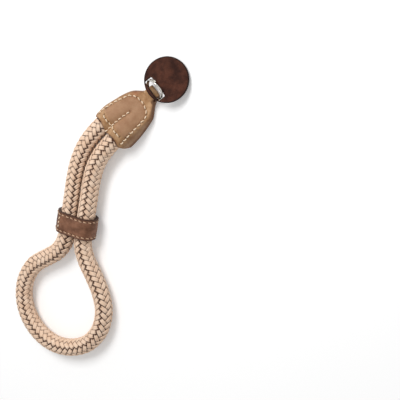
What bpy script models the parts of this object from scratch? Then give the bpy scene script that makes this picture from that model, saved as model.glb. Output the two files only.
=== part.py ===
"""Camera hand strap: one braided rope doubled into a wrist loop, a leather end cap on both of its ends,
a leather slider round both strands, and a split ring with a round leather pad. It lies flat at rest.

Metres, +Z up, +Y from the wrist loop towards the cap. The origin is on the cap's flat underside.
"""

import math

import bmesh
import bpy
import numpy as np
from mathutils import Matrix, Vector

MM = 0.001

# Rope
ROPE_DIAMETER = 0.011
STRAND_GAP = 0.0004
ROPE_POINT_SPACING = 0.0056
ROPE_SIDES = 4

# Leather
HIDE = 0.0017
FIT = 0.0003

# End cap, measured along its own axis from the mouth
CAP_TURN = math.radians(38.0)
CAP_LENGTH = 0.037
CAP_FACE_FROM_MOUTH = 0.011
CAP_MOUTH_HALF_WIDTH = 0.0136
CAP_WAIST_HALF_WIDTH = 0.0100
CAP_WAIST_AT = 0.0240
CAP_NECK_HALF_WIDTH = 0.0039
CAP_NECK_HEIGHT = 0.0039
CAP_NECK_AT = 0.0285
CAP_EDGE_ROUND = 0.0004
ROPE_IN_CAP = 0.0090
SCALLOP_DEPTH = 0.0022
SCALLOP_RADIUS = 0.0070
CENTRE_VALLEY = 0.0016
CENTRE_VALLEY_WIDTH = 0.0022

# Split ring
RING_MEAN_RADIUS = 0.0060
RING_WIRE = 0.00095
RING_TURN_GAP = 0.0001
RING_RISE = math.radians(32.8)
RING_JOG_AT = math.radians(75.0)
RING_JOG_HALF = math.radians(30.0)
RING_END_GAP = math.radians(6.0)
RING_STEP = math.radians(10.0)

# Round pad, with its slot near the cap's side
PAD_RADIUS = 0.0130
PAD_HIDE = 0.0016
PAD_SLOT_WIDTH = 0.0048
PAD_SLOT_CORNER = 0.0006
PAD_SLOT_FROM_EDGE = 0.0046
PAD_SLOT_FROM_PIN = 0.0065
PAD_LEAN = math.radians(50.0)
PAD_EDGE_ROUND = 0.0004

# Slider
SLIDER_LENGTH = 0.0130
SLIDER_AXIS_X = -0.0200
SLIDER_CENTRE_Y = -0.0700
SLIDER_EDGE_ROUND = 0.0004
LAP_END = math.radians(125.0)
LAP_STEP = 0.0009
LAP_RAMP = math.radians(40.0)

# Sewing thread
THREAD = 0.0006
THREAD_LIFT = 0.0002
THREAD_SWELL = 0.0002
STITCH_PITCH = 0.0030
CAP_SEAM_INSET = 0.0024
CAP_SEAM_START = 0.0022
CAP_SEAM_ARCH_AT = 0.0205
CAP_SEAM_ARCH_LENGTH = 0.0056
CENTRE_SEAM_END = 0.0186
BAR_AT = 0.0060
BAR_HALF_WIDTH = 0.0080
SLIDER_SEAM_INSET = 0.0016
LAP_SEAM_INSET = math.radians(15.0)
RIM_SEAM_FROM = math.radians(-35.0)

# What follows from them
ROPE_RADIUS = ROPE_DIAMETER / 2
STRAND_OFFSET = ROPE_RADIUS + STRAND_GAP / 2
CHANNEL_RADIUS = ROPE_RADIUS + FIT
RUN_HEIGHT = HIDE + CHANNEL_RADIUS
SLEEVE_RADIUS = CHANNEL_RADIUS + HIDE
CAP_TOP = RUN_HEIGHT + SLEEVE_RADIUS
CAP_EDGE_HEIGHT = 2 * HIDE
CAP_FRAME = Matrix.Rotation(-CAP_TURN, 4, "Z") @ Matrix.Translation((0.0, -CAP_FACE_FROM_MOUTH, 0.0))

RING_STACK = 2 * RING_WIRE + RING_TURN_GAP
NECK_SAG = RING_MEAN_RADIUS - math.sqrt(RING_MEAN_RADIUS**2 - CAP_NECK_HALF_WIDTH**2)
PIN_TO_RING_CENTRE = RING_MEAN_RADIUS - NECK_SAG / 2
EYE_RADIUS = math.hypot((NECK_SAG + RING_WIRE) / 2, RING_STACK / 2) + FIT
FOLD_RADIUS = EYE_RADIUS + HIDE
FOLD_AT = CAP_LENGTH - FOLD_RADIUS
PIN = CAP_FRAME @ Vector((0.0, FOLD_AT, FOLD_RADIUS))

PAD_SLOT_LENGTH = 2 * (RING_MEAN_RADIUS + RING_WIRE / 2 + FIT)
PAD_FALL = PAD_LEAN - RING_RISE

# The rope's route in millimetres, from its end in the cap's left channel to its end in the right one.
ROPE_ROUTE = [
    (-5.7, 1.9, 7.5),
    (-11.2, -5.2, 7.5),
    (-14.3, -9.1, 7.5),
    (-20.6, -19.2, 7.5),
    (-24.4, -30.3, 7.5),
    (-25.7, -42.1, 7.5),
    (-25.7, -53.0, 7.5),
    (-25.7, -64.0, 7.5),
    (-25.7, -76.5, 7.5),
    (-27.1, -84.7, 7.2),
    (-31.3, -91.9, 6.5),
    (-37.7, -97.7, 5.9),
    (-47.0, -106.2, 5.6),
    (-51.8, -117.4, 5.6),
    (-51.2, -129.9, 5.6),
    (-45.4, -141.0, 5.6),
    (-35.5, -148.7, 5.6),
    (-23.2, -151.6, 5.6),
    (-10.2, -148.8, 5.6),
    (0.4, -141.2, 5.6),
    (6.2, -130.2, 5.6),
    (6.6, -118.3, 5.6),
    (2.1, -107.3, 5.7),
    (-4.0, -98.8, 5.9),
    (-9.8, -91.0, 6.6),
    (-13.1, -84.2, 7.2),
    (-14.3, -76.5, 7.5),
    (-14.3, -64.0, 7.5),
    (-14.3, -53.0, 7.5),
    (-14.3, -42.1, 7.5),
    (-13.3, -32.8, 7.5),
    (-10.2, -24.1, 7.5),
    (-5.4, -16.1, 7.5),
    (-2.3, -12.2, 7.5),
    (3.2, -5.1, 7.5),
]


def clear_scene():
    for obj in list(bpy.data.objects):
        bpy.data.objects.remove(obj, do_unlink=True)


def material(name, colour, roughness, metallic=0.0):
    made = bpy.data.materials.new(name)
    made.use_nodes = True
    shader = made.node_tree.nodes["Principled BSDF"]
    shader.inputs["Base Color"].default_value = (*colour, 1.0)
    shader.inputs["Roughness"].default_value = roughness
    shader.inputs["Metallic"].default_value = metallic
    return made


def add_mesh(name, bm, finish, smooth_angle=35.0):
    """Turns a bmesh into a named object with its material, shaded smooth up to smooth_angle degrees."""
    bmesh.ops.recalc_face_normals(bm, faces=bm.faces)
    mesh = bpy.data.meshes.new(name)
    bm.to_mesh(mesh)
    bm.free()
    mesh.materials.append(finish)
    mesh.shade_smooth()
    mesh.set_sharp_from_angle(angle=math.radians(smooth_angle))
    obj = bpy.data.objects.new(name, mesh)
    bpy.context.scene.collection.objects.link(obj)
    return obj


def loft(bm, rings):
    """Joins closed rings of equally many points with quads and closes both ends."""
    rows = [[bm.verts.new(point) for point in ring] for ring in rings]
    count = len(rows[0])
    for low, high in zip(rows, rows[1:]):
        for i in range(count):
            j = (i + 1) % count
            bm.faces.new((low[i], low[j], high[j], high[i]))
    bm.faces.new(rows[0])
    bm.faces.new(rows[-1])


def cylinder(name, radius, length, matrix, sides=48):
    """A cutter along its own Z, centred on the matrix's origin."""
    bm = bmesh.new()
    bmesh.ops.create_cone(
        bm, cap_ends=True, segments=sides, radius1=radius, radius2=radius, depth=length, matrix=matrix
    )
    return add_cutter(name, bm)


def add_cutter(name, bm):
    bmesh.ops.recalc_face_normals(bm, faces=bm.faces)
    mesh = bpy.data.meshes.new(name)
    bm.to_mesh(mesh)
    bm.free()
    obj = bpy.data.objects.new(name, mesh)
    obj.hide_render = True
    obj.display_type = "WIRE"
    bpy.context.scene.collection.objects.link(obj)
    return obj


def cut(obj, cutter):
    modifier = obj.modifiers.new("cut " + cutter.name, "BOOLEAN")
    modifier.operation = "DIFFERENCE"
    modifier.solver = "EXACT"
    modifier.object = cutter


def smooth_curve(points, spacing):
    """Points every spacing along the centripetal Catmull-Rom curve that passes through the given points."""
    knots = np.asarray(points, float)
    knots = np.vstack([2 * knots[0] - knots[1], knots, 2 * knots[-1] - knots[-2]])
    pieces = []
    for p0, p1, p2, p3 in zip(knots, knots[1:], knots[2:], knots[3:]):
        t0 = 0.0
        t1 = t0 + math.sqrt(np.linalg.norm(p1 - p0))
        t2 = t1 + math.sqrt(np.linalg.norm(p2 - p1))
        t3 = t2 + math.sqrt(np.linalg.norm(p3 - p2))
        t = np.linspace(t1, t2, 24, endpoint=False)[:, None]
        a1 = ((t1 - t) * p0 + (t - t0) * p1) / (t1 - t0)
        a2 = ((t2 - t) * p1 + (t - t1) * p2) / (t2 - t1)
        a3 = ((t3 - t) * p2 + (t - t2) * p3) / (t3 - t2)
        b1 = ((t2 - t) * a1 + (t - t0) * a2) / (t2 - t0)
        b2 = ((t3 - t) * a2 + (t - t1) * a3) / (t3 - t1)
        pieces.append(((t2 - t) * b1 + (t - t1) * b2) / (t2 - t1))
    line = np.vstack([*pieces, knots[-2]])
    along = np.concatenate([[0.0], np.cumsum(np.linalg.norm(np.diff(line, axis=0), axis=1))])
    places = np.linspace(0.0, along[-1], max(2, round(along[-1] / spacing)) + 1)
    return np.column_stack([np.interp(places, along, line[:, axis]) for axis in range(3)])


def tube(name, points, radius, finish, resolution):
    """A round tube along the points: a curve object with a bevel and filled caps."""
    curve = bpy.data.curves.new(name, "CURVE")
    curve.dimensions = "3D"
    curve.bevel_depth = radius
    curve.bevel_resolution = resolution
    curve.use_fill_caps = True
    spline = curve.splines.new("POLY")
    spline.points.add(len(points) - 1)
    homogeneous = np.column_stack([points, np.ones(len(points))])
    spline.points.foreach_set("co", homogeneous.astype(np.float32).ravel())
    curve.materials.append(finish)
    obj = bpy.data.objects.new(name, curve)
    bpy.context.scene.collection.objects.link(obj)
    return obj


def ease(value, low, high):
    """0 below low, 1 above high, smooth between."""
    t = np.clip((np.asarray(value, float) - low) / (high - low), 0.0, 1.0)
    return t * t * (3 - 2 * t)


def cap_half_width(u):
    """The cap's half width at u from its mouth: a slow taper, then a hollow curve into the neck."""
    waist = CAP_MOUTH_HALF_WIDTH - CAP_WAIST_HALF_WIDTH
    body = CAP_MOUTH_HALF_WIDTH - waist * (np.asarray(u, float) / CAP_WAIST_AT) ** 2
    neck = ease(u, CAP_WAIST_AT - 0.0015, FOLD_AT + 0.0005)
    return body * (1 - neck) + CAP_NECK_HALF_WIDTH * neck


def cap_crown(u):
    """The height of the cap's top along its middle, before the valley is taken away."""
    u = np.asarray(u, float)
    body = CAP_TOP + (CAP_NECK_HEIGHT - CAP_TOP) * ease(u, ROPE_IN_CAP - 0.001, CAP_NECK_AT + 0.001)
    from_pin = np.clip(np.abs(u - FOLD_AT) / FOLD_RADIUS, 0.0, 1.0)
    fold = FOLD_RADIUS * (1 + np.sqrt(1 - from_pin**2))
    return np.where(u > FOLD_AT, fold, np.maximum(body, np.where(from_pin < 1.0, fold, 0.0)))


def cap_floor(u):
    """The height of the underside: flat, then round under the fold's end."""
    past = np.clip((np.asarray(u, float) - FOLD_AT) / FOLD_RADIUS, 0.0, 1.0)
    return FOLD_RADIUS * (1 - np.sqrt(1 - past**2))


def cap_side_height(u):
    """The height of the sewn edge: two hides, and half of the fold at its end."""
    return CAP_EDGE_HEIGHT + (FOLD_RADIUS - CAP_EDGE_HEIGHT) * ease(u, CAP_NECK_AT, FOLD_AT)


def cap_top(u, v):
    """The height of the cap's upper surface: a rounded box section with a valley between the strands."""
    share = np.clip(np.abs(np.asarray(v, float)) / cap_half_width(u), 0.0, 1.0)
    power = 2.7 + 1.8 * ease(u, CAP_WAIST_AT, CAP_NECK_AT)
    side = cap_side_height(u)
    valley = CENTRE_VALLEY * np.exp(-((v / CENTRE_VALLEY_WIDTH) ** 2))
    valley *= 1 - ease(u, ROPE_IN_CAP, CAP_WAIST_AT)
    return side + (cap_crown(u) - side) * (1 - share**power) ** (1 / power) - valley


def cap_section(u):
    """One closed ring of the cap at u, in its own frame: across the underside, up a side, over the top."""
    width = float(cap_half_width(u))
    low = float(cap_floor(u))
    side = float(cap_side_height(u))
    edge = min(CAP_EDGE_ROUND, (side - low) / 3)
    bottom = [(v, u, low) for v in np.linspace(edge - width, width - edge, 7)]
    angles = np.linspace(0.0, math.pi, 37)
    top = [(width * math.cos(a), u, float(cap_top(u, width * math.cos(a)))) for a in angles]
    return bottom + [(width, u, low + edge)] + top + [(-width, u, low + edge)]


def end_cap(finish):
    """The folded and sewn cap: lofted along its axis, with rope channels, the eye and a scalloped mouth."""
    body = np.linspace(0.0, FOLD_AT - FOLD_RADIUS, 17)
    fold = FOLD_AT + FOLD_RADIUS * np.sin(np.radians(np.linspace(-78.0, 82.0, 13)))
    bm = bmesh.new()
    loft(bm, [cap_section(u) for u in [*body, *fold]])
    bmesh.ops.transform(bm, matrix=CAP_FRAME, verts=bm.verts)
    cap = add_mesh("end_cap", bm, finish)
    depth = ROPE_IN_CAP + FIT
    for side in (-1, 1):
        middle = Matrix.Translation((side * STRAND_OFFSET, 0.0, RUN_HEIGHT))
        channel = CAP_FRAME @ middle @ Matrix.Rotation(math.pi / 2, 4, "X")
        cut(cap, cylinder(f"channel {side}", CHANNEL_RADIUS, 2 * depth, channel))
        scallop = Matrix.Translation((side * STRAND_OFFSET, SCALLOP_DEPTH - SCALLOP_RADIUS, CAP_TOP / 2))
        cut(cap, cylinder(f"scallop {side}", SCALLOP_RADIUS, 2 * CAP_TOP, CAP_FRAME @ scallop, 64))
    eye = Matrix.Translation((0.0, FOLD_AT, FOLD_RADIUS)) @ Matrix.Rotation(math.pi / 2, 4, "Y")
    cut(cap, cylinder("eye", EYE_RADIUS, 4 * CAP_NECK_HALF_WIDTH, CAP_FRAME @ eye, 32))
    return cap


def split_ring(finish):
    """Two turns of round wire, each flat, joined by a short step, with its two ends beside the step."""
    start = RING_JOG_HALF + RING_END_GAP
    turns = np.arange(start, 4 * math.pi - start + RING_STEP / 2, RING_STEP)
    step = ease(turns, 2 * math.pi - RING_JOG_HALF, 2 * math.pi + RING_JOG_HALF)
    pitch = RING_WIRE + RING_TURN_GAP
    around = turns + RING_JOG_AT
    flat = np.column_stack(
        [
            RING_MEAN_RADIUS * np.cos(around),
            PIN_TO_RING_CENTRE + RING_MEAN_RADIUS * np.sin(around),
            pitch * (step - 0.5),
        ]
    )
    frame = ring_frame()
    points = np.array([frame @ Vector(point) for point in flat])
    return tube("split_ring", points, RING_WIRE / 2, finish, 2)


def ring_frame():
    """The ring's own frame: X along the pin, Y in the ring's plane away from the cap."""
    return Matrix.Translation(PIN) @ Matrix.Rotation(-CAP_TURN, 4, "Z") @ Matrix.Rotation(RING_RISE, 4, "X")


def pad_frame():
    """The pad's own frame: its slot's middle, X along the pin, Y away from the cap."""
    slot = ring_frame() @ Vector((0.0, PAD_SLOT_FROM_PIN, 0.0))
    return Matrix.Translation(slot) @ Matrix.Rotation(-CAP_TURN, 4, "Z") @ Matrix.Rotation(-PAD_FALL, 4, "X")


def protector_pad(finish):
    """A round of hide with a slot for the ring, its edges rounded."""
    centre = PAD_RADIUS - PAD_SLOT_FROM_EDGE
    bm = bmesh.new()
    steps = np.radians(np.linspace(0.0, 90.0, 4))
    inset = PAD_EDGE_ROUND * (1 - np.cos(steps))
    rise = PAD_HIDE / 2 - PAD_EDGE_ROUND * (1 - np.sin(steps))
    profile = [*zip(inset[::-1], -rise[::-1]), *zip(inset, rise)]
    around = np.linspace(0.0, 2 * math.pi, 72, endpoint=False)
    rings = []
    for pulled, height in profile:
        radius = PAD_RADIUS - pulled
        rings.append([(radius * math.cos(a), centre + radius * math.sin(a), height) for a in around])
    loft(bm, rings)
    bmesh.ops.transform(bm, matrix=pad_frame(), verts=bm.verts)
    pad = add_mesh("protector_pad", bm, finish)
    cut(pad, pad_slot())
    return pad


def pad_slot():
    """The slot's cutter: a bar with rounded corners."""
    reach = PAD_SLOT_LENGTH / 2 - PAD_SLOT_CORNER
    rise = PAD_SLOT_WIDTH / 2 - PAD_SLOT_CORNER
    outline = []
    for quarter, (sign_x, sign_y) in enumerate(((1, 1), (-1, 1), (-1, -1), (1, -1))):
        for a in np.linspace(quarter * math.pi / 2, (quarter + 1) * math.pi / 2, 4):
            x = sign_x * reach + PAD_SLOT_CORNER * math.cos(a)
            outline.append((x, sign_y * rise + PAD_SLOT_CORNER * math.sin(a)))
    bm = bmesh.new()
    loft(bm, [[(x, y, z) for x, y in outline] for z in (-PAD_HIDE, PAD_HIDE)])
    bmesh.ops.transform(bm, matrix=pad_frame(), verts=bm.verts)
    return add_cutter("pad slot", bm)


def lap_drop(angle):
    """How far the pared inner end lies below the outer end's cut, at an angle round the left strand."""
    return LAP_STEP * (1 - float(ease(angle, LAP_END, LAP_END + LAP_RAMP)))


def slider_outline(offset, lapped):
    """The band's section round both strands: two half rounds and two flats, the lap's step at upper left."""
    points = []
    for a in np.linspace(-math.pi / 2, math.pi / 2, 19):
        points.append((STRAND_OFFSET + offset * math.cos(a), RUN_HEIGHT + offset * math.sin(a)))
    left = list(np.linspace(math.pi / 2, 3 * math.pi / 2, 19))
    if lapped:
        left = sorted([a for a in left if abs(a - LAP_END) > 0.03] + [LAP_END - 0.002, LAP_END + 0.002])
    for a in left:
        radius = offset - (lap_drop(a) if lapped and a > LAP_END else 0.0)
        points.append((-STRAND_OFFSET + radius * math.cos(a), RUN_HEIGHT + radius * math.sin(a)))
    return points


def slider_band(finish):
    """A strip of hide closed round both strands: its outer end comes over the top and laps the inner one."""
    low = SLIDER_CENTRE_Y - SLIDER_LENGTH / 2
    high = SLIDER_CENTRE_Y + SLIDER_LENGTH / 2
    bm = bmesh.new()
    outline = slider_outline(SLEEVE_RADIUS, True)
    loft(bm, [[(SLIDER_AXIS_X + x, y, z) for x, z in outline] for y in (low, high)])
    band = add_mesh("slider_band", bm, finish)
    bore = bmesh.new()
    inside = slider_outline(CHANNEL_RADIUS, False)
    loft(bore, [[(SLIDER_AXIS_X + x, y, z) for x, z in inside] for y in (low - HIDE, high + HIDE)])
    cut(band, add_cutter("slider bore", bore))
    rounding = band.modifiers.new("rounded rims", "BEVEL")
    rounding.width = SLIDER_EDGE_ROUND
    rounding.segments = 2
    rounding.limit_method = "ANGLE"
    rounding.angle_limit = math.radians(60.0)
    return band


def seam_thread(name, place, length, finish):
    """One thread along a seam: place(distance) gives a point on the hide and the way out of it.

    The thread stands up in the middle of each stitch and dips to the hide between two stitches.
    """
    count = max(1, round(length / STITCH_PITCH))
    points = []
    for quarter in range(4 * count + 1):
        point, out = place(quarter / (4 * count) * length)
        swell = 0.5 - 0.5 * math.cos(quarter * math.pi / 2)
        height = THREAD / 2 + THREAD_LIFT + THREAD_SWELL * swell
        points.append(Vector(point) + Vector(out).normalized() * height)
    return tube(name, np.array(points), THREAD / 2, finish, 1)


def on_cap(u, v):
    """A point on the cap's top and the way out of it, in the row's frame."""
    small = 0.0002
    point = Vector((v, u, float(cap_top(u, v))))
    slope_u = (float(cap_top(u + small, v)) - float(cap_top(u - small, v))) / (2 * small)
    slope_v = (float(cap_top(u, v + small)) - float(cap_top(u, v - small))) / (2 * small)
    normal = Vector((-slope_v, -slope_u, 1.0)).normalized()
    return CAP_FRAME @ point, CAP_FRAME.to_3x3() @ normal


def line_on_cap(route):
    """place() for seam_thread from a list of (u, v) points, and the line's length over the hide."""
    points = np.array([on_cap(u, v)[0] for u, v in route])
    along = np.concatenate([[0.0], np.cumsum(np.linalg.norm(np.diff(points, axis=0), axis=1))])

    def place(distance):
        u = np.interp(distance, along, [spot[0] for spot in route])
        v = np.interp(distance, along, [spot[1] for spot in route])
        return on_cap(float(u), float(v))

    return place, along[-1]


def cap_edge_thread(finish):
    """The seam up one side of the cap, round in an arch, and down the other."""
    places = np.linspace(CAP_SEAM_START, CAP_SEAM_ARCH_AT, 24)
    side = [(u, float(cap_half_width(u)) - CAP_SEAM_INSET) for u in places]
    reach = side[-1][1]
    arch = []
    for a in np.linspace(0.0, math.pi, 31)[1:-1]:
        arch.append((CAP_SEAM_ARCH_AT + CAP_SEAM_ARCH_LENGTH * math.sin(a), reach * math.cos(a)))
    route = side + arch + [(u, -v) for u, v in side[::-1]]
    return seam_thread("cap_edge_thread", *line_on_cap(route), finish)


def cap_centre_thread(finish):
    """The seam that parts the two strands, in the valley between them."""
    route = [(u, 0.0) for u in np.linspace(BAR_AT + 2 * THREAD, CENTRE_SEAM_END, 20)]
    return seam_thread("cap_centre_thread", *line_on_cap(route), finish)


def cap_bar_thread(finish):
    """The short row across the cap behind its mouth."""
    route = [(BAR_AT, v) for v in np.linspace(-BAR_HALF_WIDTH, BAR_HALF_WIDTH, 24)]
    return seam_thread("cap_bar_thread", *line_on_cap(route), finish)


def slider_surface(y, distance):
    """A point on the band's outside and the way out of it, a distance round it from its right-hand side."""
    quarter = (math.pi / 2 - RIM_SEAM_FROM) * SLEEVE_RADIUS
    if distance < quarter:
        side, angle = 1, RIM_SEAM_FROM + distance / SLEEVE_RADIUS
    elif distance < quarter + 2 * STRAND_OFFSET:
        share = (distance - quarter) / STRAND_OFFSET - 1
        top = Vector((SLIDER_AXIS_X - share * STRAND_OFFSET, y, RUN_HEIGHT + SLEEVE_RADIUS))
        return top, Vector((0.0, 0.0, 1.0))
    else:
        side, angle = -1, math.pi / 2 + (distance - quarter - 2 * STRAND_OFFSET) / SLEEVE_RADIUS
    return on_slider(y, angle, side)


def on_slider(y, angle, side):
    """A point on the band's round end: angle goes round a strand's centre, side is -1 left, 1 right."""
    out = Vector((math.cos(angle), 0.0, math.sin(angle)))
    centre = Vector((SLIDER_AXIS_X + side * STRAND_OFFSET, y, RUN_HEIGHT))
    return centre + out * SLEEVE_RADIUS, out


def slider_rim_thread(name, sign, finish):
    """The row beside one rim of the slider, over its top from its right-hand side to the lap's end."""
    y = SLIDER_CENTRE_Y + sign * (SLIDER_LENGTH / 2 - SLIDER_SEAM_INSET)
    length = (LAP_END - RIM_SEAM_FROM) * SLEEVE_RADIUS + 2 * STRAND_OFFSET - 2 * THREAD
    return seam_thread(name, lambda distance: slider_surface(y, distance), length, finish)


def slider_lap_thread(finish):
    """The row across the slider that holds its lap down."""
    angle = LAP_END - LAP_SEAM_INSET
    half = SLIDER_LENGTH / 2 - SLIDER_SEAM_INSET - 2 * THREAD
    start = SLIDER_CENTRE_Y - half

    def place(distance):
        return on_slider(start + distance, angle, -1)

    return seam_thread("slider_lap_thread", place, 2 * half, finish)


def build():
    clear_scene()
    braid = material("braided cotton", (0.74, 0.51, 0.33), 0.85)
    tan_hide = material("tan pull-up leather", (0.36, 0.19, 0.09), 0.55)
    brown_hide = material("brown leather", (0.14, 0.06, 0.03), 0.5)
    dark_hide = material("dark brown leather", (0.035, 0.015, 0.009), 0.5)
    nickel = material("nickel wire", (0.75, 0.73, 0.70), 0.2, 1.0)
    thread = material("waxed thread", (0.80, 0.66, 0.47), 0.6)

    route = smooth_curve(np.array(ROPE_ROUTE) * MM, ROPE_POINT_SPACING)
    tube("rope", route, ROPE_RADIUS, braid, ROPE_SIDES)
    end_cap(tan_hide)
    cap_edge_thread(thread)
    cap_centre_thread(thread)
    cap_bar_thread(thread)
    slider_band(brown_hide)
    slider_rim_thread("slider_upper_thread", 1, thread)
    slider_rim_thread("slider_lower_thread", -1, thread)
    slider_lap_thread(thread)
    split_ring(nickel)
    protector_pad(dark_hide)


build()
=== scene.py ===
"""Hand strap, dressed for its picture: braided rope, sewn leather cap and slider, split ring and pad.

The shapes are worked out in millimetres in the CAD's own frame, +Y from the loop towards the cap and +Z up,
and add_piece turns them into metres. On the cap itself, u is the distance from its mouth towards its fold, v
the distance across it and z the height.
"""

import math

import bmesh
import bpy
import numpy as np
from mathutils import Matrix, Vector


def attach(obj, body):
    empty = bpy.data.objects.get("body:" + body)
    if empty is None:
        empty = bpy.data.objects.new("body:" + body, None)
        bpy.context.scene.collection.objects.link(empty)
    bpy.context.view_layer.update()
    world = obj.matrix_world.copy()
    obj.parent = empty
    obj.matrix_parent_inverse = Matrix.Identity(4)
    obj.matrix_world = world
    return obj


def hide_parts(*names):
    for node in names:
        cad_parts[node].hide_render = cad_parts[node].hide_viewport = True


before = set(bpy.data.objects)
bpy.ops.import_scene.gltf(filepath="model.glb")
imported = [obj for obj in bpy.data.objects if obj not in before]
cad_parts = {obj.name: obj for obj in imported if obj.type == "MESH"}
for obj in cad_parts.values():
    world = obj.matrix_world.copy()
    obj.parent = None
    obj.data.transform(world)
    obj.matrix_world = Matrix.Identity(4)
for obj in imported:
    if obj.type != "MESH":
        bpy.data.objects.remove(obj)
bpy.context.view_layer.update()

MM = 0.001

# Rope and its braid
ROPE_RADIUS = 5.5
CARRIERS = 8
ROW_PITCH = 3.65
YARN_STEP = 0.78
YARN_RADIUS = 4.25
YARN_LIFT = 0.58
YARN_HALF_WIDTH = 1.22
YARN_HALF_THICK = 0.70
YARN_ROUNDNESS = 0.8
PLY_GROOVE = 0.3
WAVE_FLATNESS = 1.6
CORE_RADIUS = 3.9
ROPE_TWIST = math.radians(45.0)
TWIST_SPAN = (0.3, 0.7)
# Painted shade: the deeper a point lies under the braid's outside, the darker it is painted, fully dark at
# the depth below, and darker still along the open line, where the yarns lie as close as elsewhere.
OPEN_LINE_AT = math.radians(123.75)
OPEN_LINE_HALF_WIDTH = 0.2
OPEN_LINE_SHADE = 0.7
FULL_SHADE_DEPTH = 1.6

# Leather, the end cap and its seams
HIDE = 1.7
STRAND_OFFSET = 5.7
CHANNEL_RADIUS = 5.8
RUN_HEIGHT = 7.5
SLEEVE_RADIUS = 7.5
CAP_TURN = math.radians(38.0)
CAP_FACE_FROM_MOUTH = 11.0
CAP_MOUTH_HALF_WIDTH = 13.6
CAP_WAIST_HALF_WIDTH = 10.0
CAP_WAIST_AT = 24.0
CAP_NECK_HALF_WIDTH = 3.9
CAP_NECK_HEIGHT = 3.9
CAP_NECK_AT = 28.5
CAP_EDGE_ROUND = 0.4
CAP_TOP = 15.0
CAP_EDGE_HEIGHT = 3.4
CAP_SQUARENESS = 2.7
CAP_NECK_SQUARENESS = 4.5
CAP_UPPER_FROM = 2.0
CAP_UPPER_TO = 3.6
ROPE_IN_CAP = 9.0
LIP_RADIUS = 0.45
MOUTH_FLARE = 0.5
MOUTH_CUT_LENGTH = 9.0
UNDER_COLUMNS = 71
OVER_COLUMNS = 131
SCALLOP_DEPTH = 2.2
SCALLOP_RADIUS = 7.0
CENTRE_VALLEY = 1.6
CENTRE_VALLEY_WIDTH = 2.2
EYE_RADIUS = 1.858
FOLD_RADIUS = 3.558
FOLD_AT = 33.442
CAP_SEAM_INSET = 2.4
CAP_SEAM_START = 2.2
CAP_SEAM_ARCH_AT = 20.5
CAP_SEAM_ARCH_LENGTH = 5.6
CENTRE_SEAM_START = -0.2
CENTRE_SEAM_END = 18.6
BAR_AT = 6.0
BAR_HALF_WIDTH = 8.0
CAP_FRAME = Matrix.Rotation(-CAP_TURN, 4, "Z") @ Matrix.Translation((0.0, -CAP_FACE_FROM_MOUTH, 0.0))

# Split ring and pad
RING_MEAN_RADIUS = 6.0
RING_WIRE = 0.95
RING_PITCH = 1.05
RING_RISE = math.radians(32.8)
RING_JOG_AT = math.radians(75.0)
RING_JOG_HALF = math.radians(30.0)
RING_END_GAP = math.radians(6.0)
RING_END_TAPER = 0.14
PIN_TO_RING_CENTRE = 5.28
PAD_RADIUS = 13.0
PAD_HIDE = 1.6
PAD_SLOT = (6.775, 2.4)
PAD_SLOT_FROM_EDGE = 4.6
PAD_SLOT_FROM_PIN = 6.5
PAD_EDGE_ROUND = 0.42
PAD_FALL = math.radians(17.2)
PIN = CAP_FRAME @ Vector((0.0, FOLD_AT, FOLD_RADIUS))
RING_FRAME = Matrix.Translation(PIN) @ Matrix.Rotation(-CAP_TURN, 4, "Z") @ Matrix.Rotation(RING_RISE, 4, "X")
PAD_FRAME = (
    Matrix.Translation(RING_FRAME @ Vector((0.0, PAD_SLOT_FROM_PIN, 0.0)))
    @ Matrix.Rotation(-CAP_TURN, 4, "Z")
    @ Matrix.Rotation(-PAD_FALL, 4, "X")
)

# Slider
SLIDER_HALF_LENGTH = 6.5
SLIDER_CENTRE = (-20.0, -70.0)
SLIDER_EDGE_ROUND = 0.4
SLIDER_SEAM_INSET = 1.6
LAP_END = math.radians(125.0)
LAP_STEP = 0.9
LAP_RAMP = math.radians(40.0)
LAP_SEAM_INSET = math.radians(15.0)
LAP_SEAM_TO_ROW = 1.2

# Waxed sewing thread
STITCH_PITCH = 3.0
LAP_STITCH_PITCH = 2.5
STITCH_HALF_SHARE = 0.31
THREAD_RADIUS = 0.36
THREAD_DIP = 0.6
THREAD_SLANT = 0.2
UNDERSIDE_PRESS = 0.42

# A Wave texture of scale 1 repeats at this distance.
WAVE = math.pi / 10

# The viewpoint: the point looked at, and where the camera stands from there
VIEW_AIM = (53.46, -34.18, 0.0)
VIEW_DISTANCE = 600.0
VIEW_AZIMUTH = math.radians(54.08)
VIEW_ELEVATION = math.radians(60.0)
VIEW_ROLL = math.radians(-111.69)
VIEW_LENS = 95.57

# The rope's route, from its end in the cap's left channel to its end in the right one.
ROPE_ROUTE = [
    (-5.7, 1.9, 7.5), (-11.2, -5.2, 7.5), (-14.3, -9.1, 7.5), (-20.6, -19.2, 7.5), (-24.4, -30.3, 7.5),
    (-25.7, -42.1, 7.5), (-25.7, -53.0, 7.5), (-25.7, -64.0, 7.5), (-25.7, -76.5, 7.5), (-27.1, -84.7, 7.2),
    (-31.3, -91.9, 6.5), (-37.7, -97.7, 5.9), (-47.0, -106.2, 5.6), (-51.8, -117.4, 5.6),
    (-51.2, -129.9, 5.6), (-45.4, -141.0, 5.6), (-35.5, -148.7, 5.6), (-23.2, -151.6, 5.6),
    (-10.2, -148.8, 5.6), (0.4, -141.2, 5.6), (6.2, -130.2, 5.6), (6.6, -118.3, 5.6), (2.1, -107.3, 5.7),
    (-4.0, -98.8, 5.9), (-9.8, -91.0, 6.6), (-13.1, -84.2, 7.2), (-14.3, -76.5, 7.5), (-14.3, -64.0, 7.5),
    (-14.3, -53.0, 7.5), (-14.3, -42.1, 7.5), (-13.3, -32.8, 7.5), (-10.2, -24.1, 7.5), (-5.4, -16.1, 7.5),
    (-2.3, -12.2, 7.5), (3.2, -5.1, 7.5),
]


def hex_colour(text):
    """Linear red, green, blue and 1 from an sRGB hex value."""
    channels = [int(text[i : i + 2], 16) / 255 for i in (1, 3, 5)]
    return (*(c / 12.92 if c <= 0.04045 else ((c + 0.055) / 1.055) ** 2.4 for c in channels), 1.0)


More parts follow.
